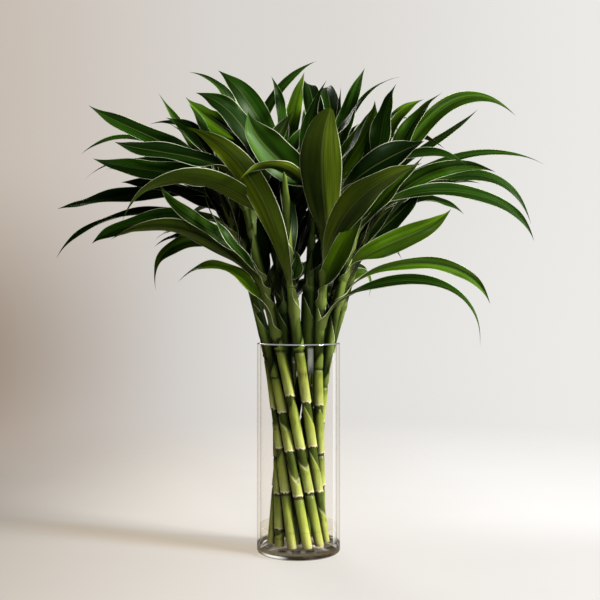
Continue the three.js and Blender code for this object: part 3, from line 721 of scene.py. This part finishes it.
leafLook = {
    "shadeGreen": (0.002, 0.007, 0.001), "mid": (0.014, 0.050, 0.002), "bright": (0.085, 0.170, 0.003),
    "underDark": (0.013, 0.025, 0.002), "underBright": (0.076, 0.112, 0.003),
    "sheath": (0.165, 0.215, 0.050), "marginHighlight": (0.80, 0.85, 0.58), "stemLow": (0.003, 0.007, 0.001),
    "stemHigh": (0.205, 0.290, 0.050), "glow": (0.16, 0.30, 0.01), "tint": (0.5, 0.85, 0.3, 1),
    "streaks": (18.0, 18.0, 18.0), "bark": (160.0, 160.0, 9.0), "lanes": (2.4, 1.5, 40.0), "veins": 11.0,
    "veinShare": 0.04, "halfShade": 0.6, "ribShare": 0.35, "baseShare": 0.7, "marginHighlightShare": 0.85, "paintedShade": 0.8,
    "inwardShadeShare": 0.88, "rough": 0.25, "underRough": 0.2, "bump": 0.22, "bumpHeight": 0.0004, "specular": 0.1,
    "coat": 0.025, "coatRough": 0.2, "through": 0.13, "laneSpan": (0.1, 0.75), "halfSpan": (0.35, -0.06),
    "ribSpan": (0.0, 0.07), "baseSpan": (0.05, 0.38), "edgeSpan": (0.2, 0.55), "tipSpan": (0.98, 0.72),
    "coreFrom": 0.25, "coreSlope": 0.25, "coreRadius": 0.015, "coreSpan": (0.035, 0.0), "crownSpan": (0.50, 0.40),
    "inwardShadeSpan": (0.85, -0.1),
}


# Leaf: green by its tone, with darker and lighter lengthwise lanes and veins, one half in painted shade, a pale
# midrib, a pale margin that is partly painted highlight, and a paler base. The stem has lengthwise bark streaks and
# painted shade low in each sheath. Whatever is near the bunch's axis, or faces it, is darkened by painted shade. A
# share of the light comes through.
def leafMaterial():
    look = leafLook
    made, tree = newMaterial("leaf")
    across, along, edge = (addNumber(tree, n) for n in ("across", "along", "edge"))
    under, tone, isStem = (addNumber(tree, n) for n in ("under", "tone", "isStem"))
    # A low tone is painted shade: its end is near black.
    lowTone = addMix(tree, addStep(tree, tone, 0.0, 0.5), look["shadeGreen"], look["mid"])
    upper = addMix(tree, addStep(tree, tone, 0.5, 1.0), lowTone, look["bright"])
    lower = addMix(tree, tone, look["underDark"], look["underBright"])
    colour = addMix(tree, under, upper, lower)
    streak = addNoise(tree, look["streaks"], 4.0)
    patches = addMath(tree, "MULTIPLY_ADD", streak, 0.9, 0.55)
    vein = addMath(tree, "SINE", addMath(tree, "MULTIPLY", across, look["veins"] * math.tau))
    aside, ahead, apart = (addMath(tree, "MULTIPLY", n, s) for n, s in zip((across, along, tone), look["lanes"]))
    lane = addNode(tree, "ShaderNodeCombineXYZ", X=aside, Y=ahead, Z=apart).outputs[0]
    lanes = addNode(tree, "ShaderNodeTexNoise", Vector=lane, Scale=1.0, Detail=2.0).outputs[0]
    patches = addMath(tree, "MULTIPLY", patches, addStep(tree, lanes, *look["laneSpan"]))
    ribs = addMath(tree, "MULTIPLY_ADD", vein, look["veinShare"], addMath(tree, "MULTIPLY", patches, 2.0))
    colour = addMix(tree, 1.0, colour, addGrey(tree, ribs), "MULTIPLY")
    # Painted shade on one half of the blade.
    halfShade = addMath(tree, "MULTIPLY", addStep(tree, across, *look["halfSpan"]), look["halfShade"])
    colour = addMix(tree, halfShade, colour, look["shadeGreen"])
    rib = addMath(tree, "SUBTRACT", 1.0, addStep(tree, addMath(tree, "ABSOLUTE", across), *look["ribSpan"]))
    colour = addMix(tree, addMath(tree, "MULTIPLY", rib, look["ribShare"]), colour, look["sheath"])
    base = addMath(tree, "SUBTRACT", 1.0, addStep(tree, along, *look["baseSpan"]))
    colour = addMix(tree, addMath(tree, "MULTIPLY", base, look["baseShare"]), colour, look["sheath"])
    # Bark streaks, with painted shade low in each sheath just above the lip below, lighter toward its own lip.
    bark = addMath(tree, "MULTIPLY_ADD", addNoise(tree, look["bark"]), 0.7, addMath(tree, "SUBTRACT", along, 0.3))
    colour = addMix(tree, isStem, colour, addMix(tree, bark, look["stemLow"], look["stemHigh"]))
    # A pale margin, partly the leaf's own and partly painted highlight along the edges and the sheaths' lips.
    marginHighlight = addMath(tree, "SUBTRACT", 1.0, addStep(tree, edge, *look["edgeSpan"]))
    notAtTip = addMath(tree, "MAXIMUM", isStem, addStep(tree, along, *look["tipSpan"]))
    marginHighlight = addMath(tree, "MULTIPLY", marginHighlight, notAtTip)
    colour = addMix(tree, addMath(tree, "MULTIPLY", marginHighlight, look["marginHighlightShare"]), colour, look["marginHighlight"])
    # Painted shade near the bunch's axis below the top of the crown, darkest at the core.
    place = addNode(tree, "ShaderNodeTexCoord").outputs["Object"]
    x, y, z = addNode(tree, "ShaderNodeSeparateXYZ", Vector=place).outputs
    out = addMath(tree, "SQRT", addMath(tree, "MULTIPLY_ADD", x, x, addMath(tree, "MULTIPLY", y, y)))
    above = addMath(tree, "MAXIMUM", addMath(tree, "SUBTRACT", z, look["coreFrom"]), 0.0)
    core = addMath(tree, "MULTIPLY_ADD", above, look["coreSlope"], look["coreRadius"])
    coreShade = addStep(tree, addMath(tree, "SUBTRACT", out, core), *look["coreSpan"])
    coreShade = addMath(tree, "MULTIPLY", coreShade, addStep(tree, z, *look["crownSpan"]))
    colour = addMix(tree, addMath(tree, "MULTIPLY", coreShade, look["paintedShade"]), colour, look["shadeGreen"])
    # Painted shade on the stems' sides that face into the bunch.
    inwardShade = addStep(tree, addNumber(tree, "outward"), *look["inwardShadeSpan"])
    colour = addMix(tree, addMath(tree, "MULTIPLY", inwardShade, look["inwardShadeShare"]), colour, look["shadeGreen"])
    rough = addMath(tree, "MULTIPLY_ADD", streak, look["rough"], look["rough"])
    rough = addMath(tree, "MULTIPLY_ADD", under, look["underRough"], rough)
    fine = addMath(tree, "MULTIPLY_ADD", vein, 0.5, streak)
    bump = addNode(tree, "ShaderNodeBump", Height=fine, Strength=look["bump"], Distance=look["bumpHeight"])
    bump = bump.outputs[0]
    skin = addNode(tree, "ShaderNodeBsdfPrincipled", Base_Color=colour, Roughness=rough, Normal=bump)
    skin.inputs["Specular IOR Level"].default_value = look["specular"]
    skin.inputs["Specular Tint"].default_value = look["tint"]
    skin.inputs["Coat Weight"].default_value = look["coat"]
    skin.inputs["Coat Roughness"].default_value = look["coatRough"]
    glow = addMix(tree, 0.5, colour, look["glow"])
    through = addNode(tree, "ShaderNodeBsdfTranslucent", Color=glow, Normal=bump).outputs[0]
    finishMaterial(tree, addShaders(tree, look["through"], skin.outputs[0], through))
    return made


stem = {
    "bottom": 5.2, "top": 3.4, "columns": 24, "spacing": 2.0, "pitch": 62, "firstLip": 8, "slant": 17, "lip": 0.9,
    "mouth": 0.9, "mouthInner": 2.4, "mouthFrom": (225, 250), "mouthTo": (300, 350), "offGlass": 0.15,
    "taperOver": 30, "taper": 0.75, "ends": (0.92, 0.75, 0.4),
}


# Radius of the green stem at a height: it falls evenly from the joint to the top.
def stemRadius(stalk, z):
    share = (z - stalk["joint"]) / (stalk["top"] - stalk["joint"])
    return mix(stem["bottom"], stem["top"], share)


# Radius over the stem's sheaths without their lips: the shoots stand fuller where they leave the vase.
def sheathRadius(stalk, z):
    full = smooth(*stem["mouthFrom"], z) * (1 - smooth(*stem["mouthTo"], z))
    wide = stem["mouthInner"] if stalk["number"] >= rings[0]["count"] else stem["mouth"]
    return stemRadius(stalk, z) + wide * full


# The green stem: a rod that narrows upward, in sheaths that widen up to their slanting lips. Rows of points lie
# slanted like the lips, by a cosine round the stem that leans to opposite sides in turn. Inside the vase its side
# is pressed flat by the glass.
def stemGrid(stalk):
    columns, pitch, foot = stem["columns"], stem["pitch"], stalk["joint"]
    lips = np.arange(foot + stem["firstLip"] + pitch, stalk["top"] - stem["firstLip"], pitch)
    rows = np.arange(foot - 1.5, stalk["top"] + 1, stem["spacing"])
    rows = np.unique(np.concatenate([rows, lips - 0.2, lips + 0.2]))
    place = (rows - foot - stem["firstLip"]) / pitch
    level = place % 1
    turn = np.arange(columns) * math.tau / columns
    sway = stem["slant"] * np.cos(math.pi * place)
    sway = sway * smooth(0, 15, rows - foot) * smooth(0, 15, stalk["top"] - rows)
    heights = rows[:, None] + sway[:, None] * np.cos(turn - 0.6 * math.cos(2.4 * stalk["number"]))
    radius = sheathRadius(stalk, heights) + stem["lip"] * level[:, None]
    radius *= 1 - stem["taper"] * smooth(stalk["top"] - stem["taperOver"], stalk["top"], rows)[:, None] ** 2
    radius[0] = stem["bottom"] - 0.6
    radius[-3:] *= np.array(stem["ends"])[:, None]
    spots = axisAt(stalk, heights.ravel()).reshape(len(rows), columns, 3)
    spots[..., 0] += radius * np.cos(turn)
    spots[..., 1] += radius * np.sin(turn)
    inside = vase["radius"] - vase["wall"] - stem["offGlass"]
    pressed = np.minimum(1, inside / np.linalg.norm(spots[..., :2], axis=-1))
    spots[..., :2] *= mix(pressed, 1, smooth(vase["height"] + 0.5, vase["height"] + 6, heights))[..., None]
    count = len(rows) * columns
    numbers = {
        "across": np.tile(turn / math.pi - 1, len(rows)),
        "along": np.repeat(level, columns),
        "edge": np.repeat(0.4 * pitch * (1 - level), columns),
        "under": np.zeros(count),
        "tone": np.zeros(count),
        "isStem": np.ones(count),
        "outward": outwardness(stalk, heights, turn).ravel(),
    }
    return spots.reshape(-1, 3), gridQuads(len(rows), columns, closed=True), numbers


# The finer blade of the scene: sizes in millimetres, and shares of a leaf's length where it wraps and is rolled.
leafGrid = {
    "rows": 54, "columns": 15, "thick": 0.5, "wave": 1.7, "beats": (1.5, 3.2), "curl": 0.75, "curlFrom": 0.55,
    "wrap": 0.86, "sheath": 0.2, "channel": 0.42, "fold": (0.5, 1.5), "under": 0.5, "emerge": 1.7, "open": 5,
    "groove": 0.35, "grooveWidth": 0.8, "keel": 0.5, "keelWidth": 0.9, "leastWidth": 0.5, "wrapFrom": 0.02,
    "wrapPower": 2.2, "channelFrom": 0.06, "emergeOver": 0.07, "waveFrom": (0.15, 0.4), "waveTo": (0.8, 1),
    "otherBeat": 1.17, "foldSoft": 2, "ribFull": 6, "waveFull": 8,
}


# Width at a share t: a clasping base, a full blade that is widest at the leaf's own share, then a drawn-out tip.
def widthAt(leaf, t):
    rise = blade["point"] * leaf["widest"] / (1 - leaf["widest"])
    swell = (t / leaf["widest"]) ** rise * ((1 - t) / (1 - leaf["widest"])) ** blade["point"]
    blunt = smooth(0.62, 0.66, leaf["widest"])
    swell = swell ** mix(0.85, 0.45, blunt) * (1 - mix(0.45, 0.1, blunt) * smooth(0.84, 1, t))
    clasp = 0.75 * blade["clasp"] * (1 - smooth(0, blade["claspUntil"], t))
    point = leafGrid["leastWidth"] * np.sqrt(np.maximum(1 - t, 0))
    return np.maximum(np.maximum(leaf["width"] * swell, clasp), point)


# A blade is a grid of share t along and u across, bent across to an arc of sine and one minus cosine: round the
# stem at its base, nearly flat with a soft fold beyond. Its edges wave by sines of t times the cube of u, its tip
# curls, a groove and a keel follow the midrib, and an upper and a lower face are joined at the margins.
def bladeGrid(leaf, rng):
    rows, columns = leafGrid["rows"], leafGrid["columns"]
    even = np.linspace(0, 1, rows)
    t = mix(even, smooth(0, 1, even), 0.35)
    u = np.sin(np.linspace(-1, 1, columns) * math.pi / 2)
    curl = rng.uniform(-1, 1) * leafGrid["curl"] * smooth(leafGrid["curlFrom"], 1, t)
    spots, normals, sides = framesOf(leaf, t, curl)
    wrap = 1 - smooth(leafGrid["wrapFrom"], leafGrid["sheath"], t)
    roll = 1 - smooth(leafGrid["channelFrom"], leafGrid["channel"], t)
    clasping = sheathRadius(leaf["stalk"], spots[:, 2]) - leafGrid["under"]
    clasping = clasping + leafGrid["emerge"] * smooth(0, leafGrid["emergeOver"], t) + leafGrid["open"] * t
    half = mix(widthAt(leaf, t) / 2, math.pi * leafGrid["wrap"] * clasping, wrap ** leafGrid["wrapPower"])
    fold = rng.uniform(*leafGrid["fold"]) * blade["fold"]
    bend = mix(fold / np.maximum(half, 0.3), 1 / clasping, roll)
    sunk = mix(blade["sunk"] * (1 - smooth(0, 0.3, t)), clasping, wrap)
    centre = spots - normals * sunk[:, None]
    s = half[:, None] * u
    angle = s * bend[:, None]
    flat = (1 - wrap)[:, None]
    window = (smooth(*leafGrid["waveFrom"], t) * (1 - smooth(*leafGrid["waveTo"], t)))[:, None]
    phase = rng.uniform(0, math.tau, 2)
    beat = rng.uniform(*leafGrid["beats"])
    beats = [np.sin(b * math.tau * t[:, None] + p) for b, p in zip((beat, beat * leafGrid["otherBeat"]), phase)]
    wave = np.where(u < 0, *beats)
    aside = np.sin(angle) / bend[:, None]
    raised = (1 - np.cos(angle)) / bend[:, None]
    raised = raised + flat * fold * 0.5 * (np.sqrt(s * s + leafGrid["foldSoft"]) - math.sqrt(leafGrid["foldSoft"]))
    wide = np.minimum(half / leafGrid["waveFull"], 1.3)[:, None]
    raised = raised + window * leafGrid["wave"] * wave * np.abs(u) ** 3 * wide
    ribbed = flat * np.minimum(half / leafGrid["ribFull"], 1)[:, None]
    raised = raised - leafGrid["groove"] * ribbed * np.exp(-(s / leafGrid["grooveWidth"]) ** 2)
    thinner = np.minimum(1, 0.3 + 3 * (1 - t))[:, None]
    thick = leafGrid["thick"] * (0.35 + 0.65 * np.sqrt(1 - 0.96 * u * u)) * thinner
    middle = centre[:, None] + sides[:, None] * aside[..., None] + normals[:, None] * raised[..., None]
    out = sides[:, None] * (-np.sin(angle))[..., None] + normals[:, None] * np.cos(angle)[..., None]
    upper = middle + out * thick[..., None] / 2
    lower = middle - out * thick[..., None] / 2
    keel = leafGrid["keel"] * ribbed * np.exp(-(s / leafGrid["keelWidth"]) ** 2)
    lower = lower - out * keel[..., None]
    count = rows * columns
    faces = [gridQuads(rows, columns), gridQuads(rows, columns, count)[:, ::-1]]
    row = np.arange(rows - 1) * columns
    for edge, order in ((row, 1), (row + columns - 1, -1)):
        strip = np.stack([edge, edge + columns, edge + columns + count, edge + count], axis=-1)
        faces.append(strip[:, ::order])
    column = np.arange(columns - 1)
    for end, order in ((column, 1), (column + (rows - 1) * columns, -1)):
        strip = np.stack([end + 1, end, end + count, end + 1 + count], axis=-1)
        faces.append(strip[:, ::order])
    spread = np.broadcast_to(u * rng.choice([-1, 1]), s.shape)
    numbers = {
        "across": np.tile(spread.ravel(), 2),
        "along": np.tile(np.repeat(t, columns), 2),
        "edge": np.tile(((1 - np.abs(u)) * half[:, None]).ravel(), 2),
        "under": np.concatenate([np.zeros(count), np.ones(count)]),
        "tone": np.full(2 * count, leaf["tone"]),
        "isStem": np.zeros(2 * count),
        "outward": np.ones(2 * count),
    }
    return np.concatenate([upper.reshape(-1, 3), lower.reshape(-1, 3)]), np.concatenate(faces), numbers


# A shoot is its stem's grid and each leaf's grid in one mesh.
def makeShoot(stalk, own, material):
    parts = [stemGrid(stalk)]
    for i, leaf in enumerate(own):
        parts.append(bladeGrid(leaf, np.random.default_rng(stalk["number"] * 50 + i)))
    firsts = np.cumsum([0] + [len(points) for points, _, _ in parts[:-1]])
    points = np.concatenate([p for p, _, _ in parts])
    faces = np.concatenate([f + first for (_, f, _), first in zip(parts, firsts)]).tolist()
    numbers = {n: np.concatenate([v[n] for _, _, v in parts]) for n in parts[0][2]}
    made = makeObject(f"shoot{stalk['number'] + 1:02d}", points, faces, numbers)
    addPiece(made, material, "leaf", f"stalk_{stalk['number'] + 1:02d}_leaves")


# The floor's colours by place. A pair of colours is left to right, and a span, in metres, is where one turns into
# the next. The shadow's spans are two across it and two along it.
paper = {
    "radii": [1, 60, 120, 200, 320, 500, 800, 1300, 2200, 3600], "columns": 96, "rough": 0.6, "bump": 0.05,
    "front": ((0.39, 0.36, 0.33), (0.62, 0.61, 0.595)), "frontSpan": (-0.52, 0.1),
    "rear": ((0.262, 0.24, 0.218), (0.665, 0.655, 0.64)), "rearSpan": (-0.62, -0.02),
    "right": (0.725, 0.72, 0.715), "rightSpan": (0.05, 0.35), "backSpan": (-0.05, 0.2),
    "paintedShadow": (0.97, 0.89, 0.79), "shadowSlope": 0.39, "shadowAhead": 0.022,
    "shadowSpans": [(-0.05, 0.0), (0.06, 0.01), (0.0, -0.06), (-0.5, -0.2)], "bounce": (0.30, 0.29, 0.27),
    "own": ((1.27, 1.18, 1.05), (1.28, 1.27, 1.25)), "glowSpan": (-0.4, 0.35), "glowShare": 0.6, "fade": (0.35, 1.3),
}


# A wide round floor that thins out into the surroundings, so that no horizon shows. Its colour goes from left to
# right and from front to rear by smooth steps, which paint shade on the left and light on the right. A painted warm
# shadow band lies along the cast shadow, where the distance from a line is near 0. It gives off a share of its
# colour as painted light, so that the picture's tone holds, but bounces little light.
def makeFloor():
    radii, columns = np.array(paper["radii"]), paper["columns"]
    turn = np.arange(columns) * math.tau / columns
    across, ahead = np.outer(radii, np.cos(turn)), np.outer(radii, np.sin(turn))
    grid = np.stack([across, ahead, 0 * across], axis=-1)
    faces = gridQuads(len(radii), columns, closed=True).tolist() + [list(range(columns))]
    made = makeObject("floor", grid.reshape(-1, 3), faces)
    material, tree = newMaterial("floorPaper")
    noise = addNoise(tree, (9.0, 9.0, 9.0), 3.0)
    bump = addNode(tree, "ShaderNodeBump", Height=noise, Strength=paper["bump"]).outputs[0]
    lying = addNode(tree, "ShaderNodeBsdfPrincipled", Roughness=paper["rough"], Normal=bump)
    place = addNode(tree, "ShaderNodeTexCoord").outputs["Object"]
    x, y, _ = addNode(tree, "ShaderNodeSeparateXYZ", Vector=place).outputs
    # Painted shade toward the left and light toward the right, at the front and at the rear.
    front = addMix(tree, addStep(tree, x, *paper["frontSpan"]), *paper["front"])
    rear = addMix(tree, addStep(tree, x, *paper["rearSpan"]), *paper["rear"])
    rear = addMix(tree, addStep(tree, x, *paper["rightSpan"]), rear, paper["right"])
    seen = addMix(tree, addStep(tree, y, *paper["backSpan"]), front, rear)
    # The painted shadow: a warm darker band along the cast shadow, left of the vase.
    aside = addMath(tree, "MULTIPLY_ADD", x, paper["shadowSlope"], addMath(tree, "ADD", y, paper["shadowAhead"]))
    shade = 1.0
    for value, span in zip((aside, aside, x, x), paper["shadowSpans"]):
        shade = addMath(tree, "MULTIPLY", shade, addStep(tree, value, *span))
    seen = addMix(tree, shade, seen, addMix(tree, 1.0, seen, paper["paintedShadow"], "MULTIPLY"))
    seen = addMix(tree, 1.0, seen, addMix(tree, noise, (0.98, 0.98, 0.98), (1.02, 1.02, 1.02)), "MULTIPLY")
    isBounce = addNode(tree, "ShaderNodeLightPath").outputs["Is Diffuse Ray"]
    put(tree, lying.inputs["Base Color"], addMix(tree, isBounce, seen, paper["bounce"]))
    # Painted light: the floor gives off a share of its colour, warmer toward the left.
    glowTint = addMix(tree, addStep(tree, x, *paper["glowSpan"]), *paper["own"])
    own = addNode(tree, "ShaderNodeEmission", Color=addMix(tree, 1.0, seen, glowTint, "MULTIPLY"))
    glowShare = addMath(tree, "MULTIPLY", addMath(tree, "SUBTRACT", 1.0, isBounce), paper["glowShare"])
    lit = addShaders(tree, glowShare, lying.outputs[0], own.outputs[0])
    away = addNode(tree, "ShaderNodeVectorMath", {"operation": "LENGTH"})
    put(tree, away.inputs[0], place)
    fade = addStep(tree, away.outputs["Value"], *paper["fade"])
    finishMaterial(tree, addShaders(tree, fade, lit, addNode(tree, "ShaderNodeBsdfTransparent").outputs[0]))
    made.data.materials.append(material)


backdrop = {
    "left": ((0.24, 0.155, 0.09), (0.53, 0.45, 0.375)), "low": ((0.745, 0.73, 0.705), (0.85, 0.835, 0.81)),
    "high": ((0.70, 0.675, 0.645), (0.84, 0.83, 0.80)), "rightSpan": (-0.45, 0.0), "farSpan": (-0.05, 0.35),
    "horizon": 0.06, "upSpan": (0.0, 0.22), "behindSpan": (-0.35, 0.45), "roomLit": (0.035, 0.034, 0.032),
    "roomSeen": (0.74, 0.725, 0.70), "dimDiffuse": 0.7, "dimSheen": 0.92,
}


# Surroundings by the direction looked in: a wall that is warm grey on the left, darkest near the horizon as a
# painted shadow of the crown, and near white on the right, from low to high by smooth steps, and behind the camera
# a pale room, dark only for the light it sends. Little of it shows as sheen.
def makeSurroundings():
    world = bpy.data.worlds.new("studio")
    world.use_nodes = True
    bpy.context.scene.world = world
    tree = world.node_tree
    tree.nodes.clear()
    place = addNode(tree, "ShaderNodeTexCoord").outputs["Generated"]
    x, y, z = addNode(tree, "ShaderNodeSeparateXYZ", Vector=place).outputs
    farRight = addStep(tree, x, *backdrop["farSpan"])
    upward = addMath(tree, "ABSOLUTE", addMath(tree, "ADD", z, backdrop["horizon"]))
    upward = addStep(tree, upward, *backdrop["upSpan"])
    left = addMix(tree, upward, *backdrop["left"])
    far = addMix(tree, upward, addMix(tree, farRight, *backdrop["low"]), addMix(tree, farRight, *backdrop["high"]))
    ahead = addMix(tree, addStep(tree, x, *backdrop["rightSpan"]), left, far)
    path = addNode(tree, "ShaderNodeLightPath")
    isSeen = addMath(tree, "MAXIMUM", path.outputs["Is Camera Ray"], path.outputs["Is Transmission Ray"])
    room = addMix(tree, isSeen, backdrop["roomLit"], backdrop["roomSeen"])
    colour = addMix(tree, addStep(tree, y, *backdrop["behindSpan"]), room, ahead)
    isSheen = addMath(tree, "MULTIPLY", path.outputs["Is Glossy Ray"],
                      addMath(tree, "SUBTRACT", 1.0, path.outputs["Is Singular Ray"]))
    dimming = addMath(tree, "MULTIPLY_ADD", path.outputs["Is Diffuse Ray"], backdrop["dimDiffuse"],
                      addMath(tree, "MULTIPLY", isSheen, backdrop["dimSheen"]))
    strength = addMath(tree, "SUBTRACT", 1.0, dimming)
    background = addNode(tree, "ShaderNodeBackground", Color=colour, Strength=strength)
    tree.links.new(background.outputs[0], addNode(tree, "ShaderNodeOutputWorld").inputs[0])


# Softboxes: name, place, target, size, power and colour.
lamps = [
    ("key", (2.42, -0.93, 1.6), (0, 0, 0.25), (0.6, 0.6), 185, (1.0, 0.98, 0.955)),
    ("front", (0.55, -2.3, 1.25), (0, 0, 0.3), (0.5, 0.5), 24, (1.0, 0.99, 0.96)),
    ("back", (-0.9, 2.3, 1.7), (0, 0, 0.3), (1.2, 1.2), 34, (1.0, 0.99, 0.97)),
]


# A rectangular lamp at a place, turned so that it shines along -Z at its target.
def addLight(name, place, target, size, power, colour):
    data = bpy.data.lights.new(name, "AREA")
    data.shape = "RECTANGLE"
    data.size, data.size_y = size
    data.energy = power
    data.color = colour
    made = bpy.data.objects.new(name, data)
    bpy.context.scene.collection.objects.link(made)
    made.location = place
    made.rotation_euler = (Vector(target) - made.location).to_track_quat("-Z", "Y").to_euler()


camera = {"lens": 55.5, "sensor": 36, "aside": 1.8, "shiftUp": 1 / 600}


# The photograph's own view: level, from the front, a little under the middle of the crown.
def makeCamera():
    data = bpy.data.cameras.new("camera")
    data.sensor_width = camera["sensor"]
    data.lens = camera["lens"]
    data.shift_y = camera["shiftUp"]
    made = bpy.data.objects.new("camera", data)
    bpy.context.scene.collection.objects.link(made)
    made.location = (camera["aside"] * mm, -sight["distance"] * mm, sight["height"] * mm)
    made.rotation_euler = (math.pi / 2, 0, 0)
    bpy.context.scene.camera = made


makeCamera()
makeFloor()
makeSurroundings()
for lamp in lamps:
    addLight(*lamp)
bpy.context.scene.view_settings.view_transform = "Standard"
print("stage done")

makeVase(clearMaterial("clearGlass", vase["look"]))
makeWater(clearMaterial("clearWater", water["look"]))
print("vase and water done")

stalks = makeStalks()
caneSkin = caneMaterial()
for stalk in stalks:
    makeCane(stalk, widerBy(stalk, stalks), caneSkin)
print("canes done")

leafSkin = leafMaterial()
for stalk, own in zip(stalks, findLeaves(stalks)):
    makeShoot(stalk, own, leafSkin)
print("shoots done")
